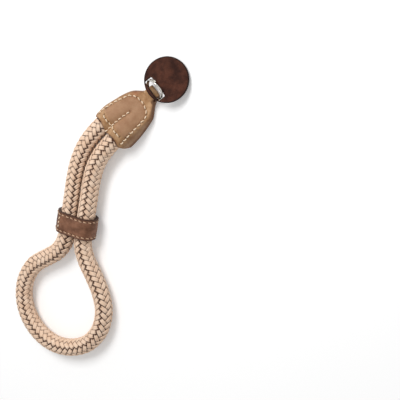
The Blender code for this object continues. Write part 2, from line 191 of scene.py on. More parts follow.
def add(tree, kind, links=None, **settings):
    """Adds one node: settings are its properties, links its inputs, each a socket to link or a value."""
    node = tree.nodes.new("ShaderNode" + kind)
    for name, value in settings.items():
        setattr(node, name, value)
    for name, source in (links or {}).items():
        if isinstance(source, bpy.types.NodeSocket):
            tree.links.new(source, node.inputs[name])
        else:
            node.inputs[name].default_value = source
    return node


def blend_colours(tree, share, first, second):
    """first where share is 0, second where it is 1: the Mix node's inputs 6 and 7, and its factor 0."""
    return add(tree, "Mix", {0: share, 6: first, 7: second}, data_type="RGBA").outputs[2]


def every(size):
    """The scale of a pattern whose marks are size millimetres apart."""
    return 1 / (size * MM)


def new_material(name, roughness, metallic=0.0):
    made = bpy.data.materials.new(name)
    made.use_nodes = True
    shader = made.node_tree.nodes["Principled BSDF"]
    shader.inputs["Roughness"].default_value = roughness
    shader.inputs["Metallic"].default_value = metallic
    return made, made.node_tree, shader


def leather(name, colour, patch, panel, rim, grain, roughness, specular):
    """Vegetable-tanned hide, drum-dyed and oiled: a soft, broken shine over patches where the oil has moved,
    pebbled grain, darker cut edges, and painted shade in its needle holes and where a piece marks it.

    grain is the size of a pebble in millimetres, drawn about twice as coarse as on calf so that it shows. The
    piece's own values say where its sewn panel, its cut edges with some painted shade, its rubbed places and
    its holes, painted dark as shade, are.
    """
    made, tree, shader = new_material(name, roughness)
    shader.inputs["Specular IOR Level"].default_value = specular
    place = add(tree, "TexCoord").outputs["Object"]
    clouds = add(tree, "TexNoise", {"Vector": place, "Scale": every(4.8), "Detail": 3.0, "Roughness": 0.6})
    share = add(tree, "MapRange", {"Value": clouds.outputs[0], "From Min": 0.36, "From Max": 0.66})
    shade = blend_colours(tree, share.outputs[0], hex_colour(colour), hex_colour(patch))
    # The edge values mark cut edges and some painted shade; the hole values mark painted shade in needle
    # holes and pockets.
    for value, tint in (("panel", panel), ("rub", "#9A5634"), ("edge", rim), ("hole", "#24140C")):
        amount = add(tree, "Attribute", attribute_name=value).outputs["Fac"]
        shade = blend_colours(tree, amount, shade, hex_colour(tint))
    fine = add(tree, "TexNoise", {"Vector": place, "Scale": every(0.38), "Detail": 4.0, "Roughness": 0.65})
    specks = {"Value": fine.outputs[0], "From Min": 0.3, "From Max": 0.75, "To Max": 0.42}
    shade = blend_colours(tree, add(tree, "MapRange", specks).outputs[0], shade, hex_colour(patch))
    tree.links.new(shade, shader.inputs["Base Color"])

    wander = add(tree, "TexNoise", {"Vector": place, "Scale": every(1.1), "Detail": 2.0})
    bend = {0: wander.outputs["Color"], 1: (0.6 * MM, 0.6 * MM, 0.6 * MM), 2: place}
    bent = add(tree, "VectorMath", bend, operation="MULTIPLY_ADD")
    pebbles = {"Vector": bent.outputs[0], "Scale": every(grain)}
    pebble = add(tree, "TexVoronoi", pebbles, feature="DISTANCE_TO_EDGE")
    crease = add(tree, "MapRange", {"Value": pebble.outputs["Distance"], "From Max": 0.16})
    relief = add(tree, "Bump", {"Height": crease.outputs[0], "Strength": 0.35, "Distance": 0.22 * MM})
    pores = {"Height": fine.outputs[0], "Strength": 0.4, "Distance": 0.15 * MM, "Normal": relief.outputs[0]}
    relief = add(tree, "Bump", pores)
    tree.links.new(relief.outputs[0], shader.inputs["Normal"])
    span = {"From Min": 0.3, "From Max": 0.7, "To Min": roughness - 0.07, "To Max": roughness + 0.1}
    gloss = add(tree, "MapRange", {"Value": clouds.outputs[0], **span})
    tree.links.new(gloss.outputs[0], shader.inputs["Roughness"])
    return made


def braided_cotton():
    """Braided cotton: spun yarn, so it is matte and soft at its outline, painted dark between the yarns as
    shade, and each yarn shows its plies and loose fibres.
    """
    made, tree, shader = new_material("braided cotton", 0.88)
    shader.inputs["Sheen Weight"].default_value = 0.22
    shader.inputs["Sheen Roughness"].default_value = 0.5
    shader.inputs["Specular IOR Level"].default_value = 0.25
    place = add(tree, "TexCoord")
    clouds = add(tree, "TexNoise", {"Vector": place.outputs["Object"], "Scale": every(4.4), "Detail": 3.0})
    share = add(tree, "MapRange", {"Value": clouds.outputs[0], "From Min": 0.36, "From Max": 0.64})
    shade = blend_colours(tree, share.outputs[0], hex_colour("#FFE4CB"), hex_colour("#F1CFB2"))
    # The UV map is in millimetres. Plies lie 1.3 mm apart across the yarn. A cotton fibre is 0.02 mm wide,
    # and is drawn 0.15 mm wide and 1.4 mm long so that it shows.
    on_yarn = place.outputs["UV"]
    stretch = add(tree, "Mapping", {"Vector": on_yarn, "Scale": (1 / 1.4, 1 / 0.15, 1.0)}).outputs[0]
    streaks = {"Vector": stretch, "Scale": 1.0, "Detail": 3.0, "Roughness": 0.6}
    fibres = add(tree, "TexNoise", streaks).outputs[0]
    waves = {"Vector": on_yarn, "Scale": WAVE / 1.3, "Distortion": 0.6}
    plies = add(tree, "TexWave", waves, bands_direction="Y").outputs["Fac"]
    darker = add(tree, "MapRange", {"Value": fibres, "From Min": 0.35, "From Max": 0.7, "To Max": 0.45})
    shade = blend_colours(tree, darker.outputs[0], shade, hex_colour("#DDB496"))
    # Painted shade: dark brown where the yarns lie deep, where the strands press together and where the rope
    # goes in under the cap's lip.
    recess_shade = add(tree, "Attribute", attribute_name="recess_shade").outputs["Fac"]
    reach = {"Value": recess_shade, "From Min": 0.13, "From Max": 0.56}
    deep = add(tree, "MapRange", reach, interpolation_type="SMOOTHSTEP")
    shade = blend_colours(tree, deep.outputs[0], shade, hex_colour("#4A2610"))
    tree.links.new(shade, shader.inputs["Base Color"])
    relief = add(tree, "Bump", {"Height": plies, "Strength": 0.5, "Distance": 0.18 * MM})
    fuzz = {"Height": fibres, "Strength": 0.6, "Distance": 0.16 * MM, "Normal": relief.outputs[0]}
    relief = add(tree, "Bump", fuzz)
    tree.links.new(relief.outputs[0], shader.inputs["Normal"])
    return made


def waxed_thread(name, furrow, crest):
    """Waxed linen thread, twisted from two plies 1.2 mm to the turn: the wax gives it a dull shine, and each
    ply's crest is painted paler as a highlight and the furrow beside it darker as shade.
    """
    made, tree, shader = new_material(name, 0.5)
    place = add(tree, "TexCoord")
    tilt = add(tree, "Mapping", {"Vector": place.outputs["UV"], "Rotation": (0.0, 0.0, math.radians(50.0))})
    twist = add(tree, "TexWave", {"Vector": tilt.outputs[0], "Scale": WAVE / 1.2, "Distortion": 0.3})
    # Painted highlight on each ply's crest and painted shade in the furrow beside it.
    shade = blend_colours(tree, twist.outputs["Fac"], hex_colour(furrow), hex_colour(crest))
    tree.links.new(shade, shader.inputs["Base Color"])
    relief = add(tree, "Bump", {"Height": twist.outputs["Fac"], "Strength": 0.6, "Distance": 0.12 * MM})
    tree.links.new(relief.outputs[0], shader.inputs["Normal"])
    return made


def plated_wire():
    """Nickel-plated spring wire, drawn and tumbled: bright, with faint marks 0.7 mm apart that blur what it
    mirrors.
    """
    made, tree, shader = new_material("nickel-plated spring wire", 0.16, 1.0)
    shader.inputs["Base Color"].default_value = hex_colour("#C6C2BB")
    place = add(tree, "TexCoord").outputs["Object"]
    marks = add(tree, "TexNoise", {"Vector": place, "Scale": every(0.7), "Detail": 2.0})
    blur = add(tree, "MapRange", {"Value": marks.outputs[0], "To Min": 0.1, "To Max": 0.26})
    tree.links.new(blur.outputs[0], shader.inputs["Roughness"])
    return made


def grid_faces(rows, columns, closed_rows=False, closed_columns=True):
    """Quads between neighbouring points of a grid whose points are numbered row by row."""
    index = np.arange(rows * columns).reshape(rows, columns)
    if closed_rows:
        index = np.vstack([index, index[:1]])
    if closed_columns:
        index = np.hstack([index, index[:, :1]])
    corners = (index[:-1, :-1], index[:-1, 1:], index[1:, 1:], index[1:, :-1])
    return np.stack(corners, axis=-1).reshape(-1, 4)


def add_piece(name, points, quads, finish, ends=(), uv=None, sharp=40.0):
    """A mesh from points in millimetres and its quads; ends are the rings of point numbers that close it."""
    mesh = bpy.data.meshes.new(name)
    faces = quads.tolist() + [ring.tolist() for ring in ends]
    mesh.from_pydata((points * MM).tolist(), [], faces)
    shell = bmesh.new()
    shell.from_mesh(mesh)
    bmesh.ops.recalc_face_normals(shell, faces=shell.faces)
    shell.to_mesh(mesh)
    shell.free()
    mesh.materials.append(finish)
    mesh.shade_smooth()
    mesh.set_sharp_from_angle(angle=math.radians(sharp))
    if uv is not None:
        corners = np.empty(len(mesh.loops), np.int32)
        mesh.loops.foreach_get("vertex_index", corners)
        layer = mesh.uv_layers.new(name="along and across")
        layer.data.foreach_set("uv", uv[corners].astype(np.float32).ravel())
    piece = bpy.data.objects.new(name, mesh)
    bpy.context.scene.collection.objects.link(piece)
    return piece


def add_tubes(name, tubes, finish, uv=None, sharp=40.0):
    """A piece of one or more closed tubes, each a grid of points with a row for each ring round it."""
    points, quads, ends, count = [], [], [], 0
    for tube in tubes:
        rows, columns = tube.shape[:2]
        first = count + np.arange(columns)
        points.append(tube.reshape(-1, 3))
        quads.append(grid_faces(rows, columns) + count)
        ends += [first, first + (rows - 1) * columns]
        count += rows * columns
    return add_piece(name, np.vstack(points), np.vstack(quads), finish, ends, uv, sharp)


def paint(piece, name, values):
    """Stores one number a vertex, which the piece's material reads by that name."""
    layer = piece.data.attributes.new(name, "FLOAT", "POINT")
    layer.data.foreach_set("value", np.clip(values, 0.0, 1.0).astype(np.float32))


def moved(points, matrix):
    return points @ np.array(matrix.to_3x3()).T + np.array(matrix.translation)


def unit(vectors):
    return vectors / np.linalg.norm(vectors, axis=-1, keepdims=True)


def ease(value, low, high):
    """0 below low, 1 above high, smooth between."""
    t = np.clip((value - low) / (high - low), 0.0, 1.0)
    return t * t * (3 - 2 * t)


def bell(distance, width):
    return np.exp(-((distance / width) ** 2))


def nearest(points, targets):
    """How far each point is from its nearest target, and which target that is."""
    squares = (points**2).sum(1)[:, None] + (targets**2).sum(1) - 2 * points @ targets.T
    which = squares.argmin(1)
    return np.sqrt(np.maximum(squares[np.arange(len(points)), which], 0.0)), which


def length_along(points):
    return np.concatenate([[0.0], np.cumsum(np.linalg.norm(np.diff(points, axis=0), axis=1))])


def resampled(points, spacing):
    """Points every spacing along a polyline of any number of coordinates."""
    along = length_along(points)
    places = np.linspace(0.0, along[-1], max(2, round(along[-1] / spacing)) + 1)
    return np.column_stack([np.interp(places, along, column) for column in points.T])


def smooth_curve(points, spacing):
    """Points every spacing along the centripetal Catmull-Rom curve that passes through the given points."""
    knots = np.asarray(points, float)
    knots = np.vstack([2 * knots[0] - knots[1], knots, 2 * knots[-1] - knots[-2]])
    pieces = []
    for p0, p1, p2, p3 in zip(knots, knots[1:], knots[2:], knots[3:]):
        t0 = 0.0
        t1 = t0 + math.sqrt(np.linalg.norm(p1 - p0))
        t2 = t1 + math.sqrt(np.linalg.norm(p2 - p1))
        t3 = t2 + math.sqrt(np.linalg.norm(p3 - p2))
        t = np.linspace(t1, t2, 24, endpoint=False)[:, None]
        a1 = ((t1 - t) * p0 + (t - t0) * p1) / (t1 - t0)
        a2 = ((t2 - t) * p1 + (t - t1) * p2) / (t2 - t1)
        a3 = ((t3 - t) * p2 + (t - t2) * p3) / (t3 - t2)
        b1 = ((t2 - t) * a1 + (t - t0) * a2) / (t2 - t0)
        b2 = ((t3 - t) * a2 + (t - t1) * a3) / (t3 - t1)
        pieces.append(((t2 - t) * b1 + (t - t1) * b2) / (t2 - t1))
    return resampled(np.vstack([*pieces, knots[-2]]), spacing)


def frames_along(line):
    """The way ahead, the way to the side and the way up at each point of a line."""
    ahead = unit(np.gradient(line, axis=0))
    side = unit(np.cross(ahead, (0.0, 0.0, 1.0)))
    return ahead, side, np.cross(side, ahead)


def mouth_setback(v):
    """How far the cap's mouth is cut back: over each strand by an arc of a circle, elsewhere not at all."""
    from_strand = np.minimum(np.abs(np.abs(v) - STRAND_OFFSET), SCALLOP_RADIUS)
    return np.maximum(SCALLOP_DEPTH - SCALLOP_RADIUS + np.sqrt(SCALLOP_RADIUS**2 - from_strand**2), 0.0)


def rope_painted_shade(rings, line):
    """Painted shade on the rope, where its two strands press together and where it enters the cap."""
    pressed, mouth_shade = 0.13, 0.42
    third = len(line) // 3
    far = np.full(rings.shape[:2], 2.0 * STRAND_OFFSET)
    for own, other in ((slice(None, third), slice(-third, None)), (slice(-third, None), slice(None, third))):
        far[own] = nearest(rings[own].reshape(-1, 3), line[other])[0].reshape(third, -1)
    v, u, _ = moved(rings.reshape(-1, 3), CAP_FRAME.inverted()).T
    at_mouth = ease(u - mouth_setback(v), -2.1, -1.0)
    return pressed * (1 - ease(far.ravel(), 5.9, 8.0)) + mouth_shade * at_mouth


def twisted_frames(line):
    """The rope's own frame along its line, twisted by an eighth of a turn on its way round the loop."""
    ahead, side, top = frames_along(line)
    along = length_along(line)
    start, end = (share * along[-1] for share in TWIST_SPAN)
    twist = ROPE_TWIST * ease(along, start, end)[:, None]
    return ahead, np.cos(twist) * side - np.sin(twist) * top, np.sin(twist) * side + np.cos(twist) * top


def yarn_section():
    """Shares of a yarn's half width and half thickness round its section: a flat oval with a shallow groove
    along its top, because two ends are wound side by side.
    """
    angles = np.radians([270.0, 315.0, 0.0, 32.0, 62.0, 90.0, 118.0, 148.0, 180.0, 225.0])
    across = np.sign(np.cos(angles)) * np.abs(np.cos(angles)) ** YARN_ROUNDNESS
    return across, np.sin(angles) - PLY_GROOVE * bell(np.cos(angles), 0.3) * (np.sin(angles) > 0)


def wound_yarn(line, frames, carrier, way, phase):
    """One yarn's rings, painted shade by its points' depth, more along the open line, and its UV in mm.

    The yarn's angle grows evenly with the distance along the rope. Its distance from the rope's middle line
    is a mean plus a flattened wave, whose phase is half a wave apart for two yarns wherever they cross.
    """
    ahead, side, top = frames
    along = length_along(line)
    turn = 2 * math.pi / (CARRIERS * ROW_PITCH)
    angle = 2 * math.pi * carrier / CARRIERS + way * turn * along
    wave = np.cos(math.pi / 2 * (2 * carrier + way * CARRIERS * turn * along / math.pi - phase))
    lift = np.tanh(WAVE_FLATNESS * wave) / math.tanh(WAVE_FLATNESS)
    radial = np.cos(angle)[:, None] * side + np.sin(angle)[:, None] * top
    centre = line + (YARN_RADIUS + YARN_LIFT * lift)[:, None] * radial
    forward = unit(np.gradient(centre, axis=0))
    across = unit(np.cross(forward, radial))
    out = np.cross(across, forward)
    across_share, height_share = yarn_section()
    width = YARN_HALF_WIDTH * (1 + 0.05 * lift)
    ring = (
        centre[:, None]
        + (width[:, None] * across_share)[..., None] * across[:, None]
        + (YARN_HALF_THICK * height_share)[None, :, None] * out[:, None]
    )
    away = ring - line[:, None]
    away = away - (away * ahead[:, None]).sum(-1, keepdims=True) * ahead[:, None]
    round_it = np.arctan2((away * top[:, None]).sum(-1), (away * side[:, None]).sum(-1))
    from_open_line = np.remainder(round_it - OPEN_LINE_AT + math.pi, 2 * math.pi) - math.pi
    on_open_line = bell(from_open_line, OPEN_LINE_HALF_WIDTH)
    # Painted shade: the deeper a point lies, the darker it is painted, and darker still along the open line.
    deep = (ROPE_RADIUS - np.linalg.norm(away, axis=-1)) / FULL_SHADE_DEPTH * (1 + OPEN_LINE_SHADE * on_open_line)
    travelled = np.broadcast_to(length_along(centre)[:, None], ring.shape[:2])
    return ring, deep.ravel(), np.stack([travelled, width[:, None] * across_share], axis=-1).reshape(-1, 2)


def braided_rope(finish):
    """Eight yarns wind one way and eight the other, each over two and under two, round a core, a plain tube
    painted fully dark as shade between the yarns. Along one of the lines where the yarns of the two ways
    meet, the painted shade is deeper, as if the braid were a little open there.
    """
    line = smooth_curve(ROPE_ROUTE, YARN_STEP)
    frames = twisted_frames(line)
    tubes, recess_shade, uv = [], [], []
    for way, phase in ((1, 0.5), (-1, 2.5)):
        for carrier in range(CARRIERS):
            ring, deep, on_yarn = wound_yarn(line, frames, carrier, way, phase)
            tubes.append(ring)
            # Painted shade from depth, from the strands pressing together and from the cap's lip.
            recess_shade.append(deep + rope_painted_shade(ring, line))
            uv.append(on_yarn)
    core = line[::3]
    _, side, top = frames_along(core)
    around = np.linspace(0.0, 2 * math.pi, 20, endpoint=False)[:, None]
    spokes = np.cos(around) * side[:, None] + np.sin(around) * top[:, None]
    tubes.append(core[:, None] + CORE_RADIUS * spokes)
    points_in_core = len(core) * len(around)
    # The core is painted fully shaded: painted shade that shows through the gaps between the yarns.
    recess_shade.append(np.ones(points_in_core))
    uv.append(np.zeros((points_in_core, 2)))
    piece = add_tubes("braided_rope", tubes, finish, np.vstack(uv), sharp=80.0)
    paint(piece, "recess_shade", np.concatenate(recess_shade))
    return piece


def cap_half_width(u):
    """Half the cap's width: it narrows as a square from the mouth to the waist, and eases to the neck."""
    body = CAP_MOUTH_HALF_WIDTH - (CAP_MOUTH_HALF_WIDTH - CAP_WAIST_HALF_WIDTH) * (
        np.maximum(u, 0.0) / CAP_WAIST_AT
    ) ** 2
    neck = ease(u, CAP_WAIST_AT - 1.5, FOLD_AT + 0.5)
    return body * (1 - neck) + CAP_NECK_HALF_WIDTH * neck


def cap_crown(u):
    """The cap's height on its middle line: it eases down to the neck, and rises over the fold's circle."""
    body = CAP_TOP + (CAP_NECK_HEIGHT - CAP_TOP) * ease(u, ROPE_IN_CAP - 1.0, CAP_NECK_AT + 1.0)
    from_pin = np.clip(np.abs(u - FOLD_AT) / FOLD_RADIUS, 0.0, 1.0)
    fold = FOLD_RADIUS * (1 + np.sqrt(1 - from_pin**2))
    return np.where(u > FOLD_AT, fold, np.maximum(body, np.where(from_pin < 1.0, fold, 0.0)))


def cap_floor(u):
    """The height of the cap's underside: flat, then round with the fold."""
    past = np.clip((u - FOLD_AT) / FOLD_RADIUS, 0.0, 1.0)
    return FOLD_RADIUS * (1 - np.sqrt(1 - past**2))


def cap_side_height(u):
    """The height at which the cap's wall goes over into its upper hide."""
    return CAP_EDGE_HEIGHT + (FOLD_RADIUS - CAP_EDGE_HEIGHT) * ease(u, CAP_NECK_AT, FOLD_AT)


def cap_top(u, v):
    """The height of the cap's upper hide: a rounded box section with a valley between the strands."""
    share = np.clip(np.abs(v) / cap_half_width(u), 0.0, 1.0)
    power = CAP_SQUARENESS + (CAP_NECK_SQUARENESS - CAP_SQUARENESS) * ease(u, CAP_WAIST_AT, CAP_NECK_AT)
    side = cap_side_height(u)
    valley = CENTRE_VALLEY * (1 - ease(u, ROPE_IN_CAP, CAP_WAIST_AT)) * bell(v, CENTRE_VALLEY_WIDTH)
    return side + (cap_crown(u) - side) * (1 - share**power) ** (1 / power) - valley


def cap_seam(route, underside):
    """A seam on the cap from its (u, v) points: points on the hide, the ways out of it, the distance along
    and the number of its stitches, which is the same on top and underneath.
    """
    u, v = resampled(np.array(route), 0.12).T
    small = 0.2
    slope_u = (cap_top(u + small, v) - cap_top(u - small, v)) / (2 * small)
    slope_v = (cap_top(u, v + small) - cap_top(u, v - small)) / (2 * small)
    points = np.column_stack([v, u, cap_top(u, v)])
    out = unit(np.column_stack([-slope_v, -slope_u, np.ones(len(u))]))
    count = round(length_along(points)[-1] / STITCH_PITCH)
    if underside:
        points, out = points * (1.0, 1.0, 0.0), out * 0.0 - (0.0, 0.0, 1.0)
    return points, out, length_along(points), count


def holes_of(seam):
    """Where the needle went through: the points between two stitches."""
    points, _, along, count = seam
    places = np.linspace(0.0, along[-1], count + 1)
    return np.column_stack([np.interp(places, along, column) for column in points.T])


def cap_seams(underside):
    """The rows round the cap's edge, between the strands and across, as they show on top or underneath."""
    u = np.linspace(CAP_SEAM_START, CAP_SEAM_ARCH_AT, 24)
    reach = cap_half_width(u) - CAP_SEAM_INSET
    a = np.linspace(0.0, math.pi, 41)[1:-1]
    arch = np.column_stack([CAP_SEAM_ARCH_AT + CAP_SEAM_ARCH_LENGTH * np.sin(a), reach[-1] * np.cos(a)])
    edge = np.vstack([np.column_stack([u, reach]), arch, np.column_stack([u, -reach])[::-1]])
    centre = [(place, 0.0) for place in np.linspace(CENTRE_SEAM_START, CENTRE_SEAM_END, 20)]
    bar = [(BAR_AT, v) for v in np.linspace(-BAR_HALF_WIDTH, BAR_HALF_WIDTH, 24)]
    rows = {"cap_edge_thread": edge, "cap_centre_thread": centre, "cap_bar_thread": bar}
    return {node: cap_seam(route, underside) for node, route in rows.items()}


def cap_rings(u, columns):
    """Closed sections of the cap, a row for each u: across the underside, up a side, over the top, down."""
    u = u[:, None]
    width, low, side = cap_half_width(u), cap_floor(u), cap_side_height(u)
    edge = np.minimum(CAP_EDGE_ROUND, (side - low) / 3)
    bottom_v = np.linspace(-1, 1, UNDER_COLUMNS) * (width - edge)
    turn = np.radians([30.0, 60.0, 90.0])
    corner_v = width - edge + edge * np.sin(turn)
    corner_z = low + edge * (1 - np.cos(turn))
    wall_z = low + edge + (side - low - edge) * np.linspace(0, 1, 10)[1:-1]
    wall_v = width + 0 * wall_z
    over = np.linspace(0.0, math.pi, columns)
    top_v = width * np.cos(over)
    top_z = cap_top(u, top_v)
    v = np.hstack([bottom_v, corner_v, wall_v, top_v, -wall_v[:, ::-1], -corner_v[:, ::-1]])
    z = np.hstack([low + 0 * bottom_v, corner_z, wall_z, top_z, wall_z[:, ::-1], corner_z[:, ::-1]])
    return np.stack([v, u + 0 * v, z], axis=-1)


def cap_outside(seams, holes):
    """The cap's outside before its mouth is cut back: rings of its section from the lip to the fold round the
    split ring, each point sunk along its normal.

    The hide is drawn in along each seam, most at the needle's holes. A groove at the wall parts its two
    layers, and two slow waves make the upper hide uneven.
    """
    seam_depth, hole_depth, groove_depth, mean_depth = 0.36, 0.22, 0.26, 0.10
    body = np.linspace(LIP_RADIUS, FOLD_AT - FOLD_RADIUS, 118)
    fold = FOLD_AT + FOLD_RADIUS * np.sin(np.radians(np.linspace(-84.0, 88.0, 44)))
    outside = cap_rings(np.concatenate([body, fold]), OVER_COLUMNS)
    rows, columns = outside.shape[:2]

    around = np.roll(outside, -1, 1) - np.roll(outside, 1, 1)
    normal = unit(np.cross(around, np.gradient(outside, axis=0)))
    crown_column = (columns + UNDER_COLUMNS) // 2
    normal *= np.sign(normal[rows // 3, crown_column, 2])

    flat = outside.reshape(-1, 3)
    v, u, z = flat.T
    drawn_in = np.zeros(len(flat))
    for points, _, along, count in seams:
        far, which = nearest(flat, points)
        pull = 0.8 + 0.2 * np.cos(2 * math.pi * count * along[which] / along[-1])
        drawn_in = np.maximum(drawn_in, seam_depth * bell(far, 0.85) * pull)
    to_hole, _ = nearest(flat, holes)
    drawn_in += hole_depth * bell(to_hole, 0.42)
    between_layers = HIDE + (FOLD_RADIUS - HIDE) * ease(u, CAP_WAIST_AT, FOLD_AT - EYE_RADIUS)
    at_wall = ease(np.abs(v) / cap_half_width(u), 0.985, 0.998) * (u < FOLD_AT - 1.0)
    groove = groove_depth * bell(z - between_layers, 0.17) * at_wall
    waves = 0.09 * np.sin(0.55 * u + 1.3 * np.sin(0.4 * v)) + 0.063 * np.sin(0.9 * v + 0.33 * u + 1.0)
    on_top, underneath = ease(z, CAP_UPPER_FROM, CAP_UPPER_TO), z < 0.01
    sunk = (drawn_in + mean_depth + waves) * on_top + groove + drawn_in * underneath
    return outside - normal * sunk.reshape(rows, columns)[..., None]


def cap_pocket_and_lip(rim):
    """Rings from the pocket's bottom out to its mouth and over the lip to the rim of the cap's outside.

    The pocket's ring is the outline of two circles side by side, and it widens a little at the mouth. The lip
    joins the two with a round of its own, a quarter circle on each side of its crest.
    """
    heading = np.arctan2(rim[:, 2] - RUN_HEIGHT, rim[:, 0])
    reach = STRAND_OFFSET * np.abs(np.cos(heading)) + np.sqrt(
        CHANNEL_RADIUS**2 - (STRAND_OFFSET * np.sin(heading)) ** 2
    )
    pocket = np.column_stack([reach * np.cos(heading), 0 * heading, RUN_HEIGHT + reach * np.sin(heading)])
    rim = rim * (1.0, 0.0, 1.0)
    inward = unit(pocket - rim)
    rows = []
    for deep in np.linspace(ROPE_IN_CAP, LIP_RADIUS, 14):
        flare = MOUTH_FLARE * (1 - ease(deep, LIP_RADIUS, 3.0))
        rows.append(pocket - inward * flare + (0.0, deep, 0.0))
    mouth = pocket - inward * MOUTH_FLARE
    turns = np.radians([60.0, 30.0, 0.0])
    quarter = LIP_RADIUS * (1 - np.column_stack([np.sin(turns), np.cos(turns)]))
    rows += [mouth - inward * back + (0.0, deep, 0.0) for back, deep in quarter]
    rows.append((rim + mouth) / 2)
    rows += [rim + inward * back + (0.0, deep, 0.0) for back, deep in quarter[::-1]]
    return np.array(rows)


def pierce(piece, along_pin, radius, length):
    """Cuts a round eye through a piece, along the Z axis of a frame in millimetres, and merges the doubles
    that the cut leaves.
    """
    drill = bmesh.new()
    bmesh.ops.create_cone(
        drill, cap_ends=True, segments=48, radius1=radius, radius2=radius, depth=length, matrix=along_pin
    )
    bmesh.ops.scale(drill, vec=(MM, MM, MM), verts=drill.verts)
    cutter_mesh = bpy.data.meshes.new("eye")
    drill.to_mesh(cutter_mesh)
    drill.free()
    cutter = bpy.data.objects.new("eye", cutter_mesh)
    bpy.context.scene.collection.objects.link(cutter)
    cut = piece.modifiers.new("eye", "BOOLEAN")
    cut.operation = "DIFFERENCE"
    cut.solver = "EXACT"
    cut.object = cutter
    pierced = bpy.data.meshes.new_from_object(piece.evaluated_get(bpy.context.evaluated_depsgraph_get()))
    piece.modifiers.clear()
    piece.data = pierced
    bpy.data.objects.remove(cutter)
    shell = bmesh.new()
    shell.from_mesh(pierced)
    bmesh.ops.remove_doubles(shell, verts=shell.verts, dist=0.002 * MM)
    bmesh.ops.dissolve_degenerate(shell, edges=shell.edges, dist=0.002 * MM)
    shell.to_mesh(pierced)
    shell.free()
    pierced.set_sharp_from_angle(angle=math.radians(40.0))


def paint_cap(piece, holes):
    """Marks the painted shade in the cap's needle holes, its pocket and at its lip, its cut and rubbed edges,
    its sewn panel, and the place beside the fold that is rubbed red.
    """
    where = np.empty(len(piece.data.vertices) * 3)
    piece.data.vertices.foreach_get("co", where)
    where = moved(where.reshape(-1, 3) / MM, CAP_FRAME.inverted())
    v, u, z = where.T
    outward = np.abs(v) / cap_half_width(u)

    # Painted shade: the needle holes, which the mesh doesn't cut, and the inside of the pocket are painted
    # near black.
    to_hole, _ = nearest(where, holes)
    past_channel = np.hypot(np.abs(v) - STRAND_OFFSET, z - RUN_HEIGHT) - CHANNEL_RADIUS
    pocket_shade = (1 - ease(past_channel, 0.15, 0.75)) * (u < ROPE_IN_CAP + 0.5)
    paint(piece, "hole", np.maximum(1.3 * bell(to_hole, 0.5), 0.9 * pocket_shade))

    low_wall = 0.85 * (1 - ease(z, 2.6, 6.0)) * ease(outward, 0.88, 0.98)
    # The lip is the hide's cut edge, and is painted darker still: painted shade of the gap between the lip
    # and the rope.
    lip_edge_and_gap_shade = 0.7 * (1 - ease(u - mouth_setback(v), 0.15, 1.1))
    in_eye = 1 - ease(np.hypot(u - FOLD_AT, z - FOLD_RADIUS), EYE_RADIUS + 0.1, EYE_RADIUS + 0.7)
    shoulder = 0.5 * ease(outward, 0.82, 0.97)
    neck_edge = 0.75 * ease(outward, 0.74, 0.97) * ease(u, 25.0, 33.0)
    paint(piece, "edge", np.max([low_wall, lip_edge_and_gap_shade, in_eye, shoulder, neck_edge], axis=0))

    inside_seam = ease(cap_half_width(u) - CAP_SEAM_INSET - np.abs(v), -0.1, 0.5)
    arch_half_width = CAP_WAIST_HALF_WIDTH - CAP_SEAM_INSET + 0.9
    arch_share = np.sqrt(np.clip(1 - (v / arch_half_width) ** 2, 0.0, 1.0))
    arch = CAP_SEAM_ARCH_AT + CAP_SEAM_ARCH_LENGTH * arch_share
    paint(piece, "panel", 0.65 * inside_seam * (1 - ease(u, arch - 0.5, arch + 0.1)) * ease(u, BAR_AT, 9.0))
    paint(piece, "rub", 0.75 * bell(u - 26.5, 3.0) * bell(v + 7.4, 2.4))


def end_cap(finish, seams):
    """The folded and sewn cap as one closed skin: the pocket for the strands, the lip, and the outside. The
    mouth's two scallops push all of it back near the mouth, and the split ring's eye goes through the fold.
    """
    holes = np.vstack([holes_of(seam) for seam in seams])
    outside = cap_outside(seams, holes)
    points = np.concatenate([cap_pocket_and_lip(outside[0]), outside])
    points[..., 1] += mouth_setback(points[..., 0]) * (1 - ease(points[..., 1], 0.0, MOUTH_CUT_LENGTH))
    piece = add_tubes("folded_cap", [moved(points, CAP_FRAME)], finish)
    pin = Matrix.Translation((0.0, FOLD_AT, FOLD_RADIUS)) @ Matrix.Rotation(math.pi / 2, 4, "Y")
    pierce(piece, CAP_FRAME @ pin, EYE_RADIUS, length=16.0)
    paint_cap(piece, holes)
    return piece


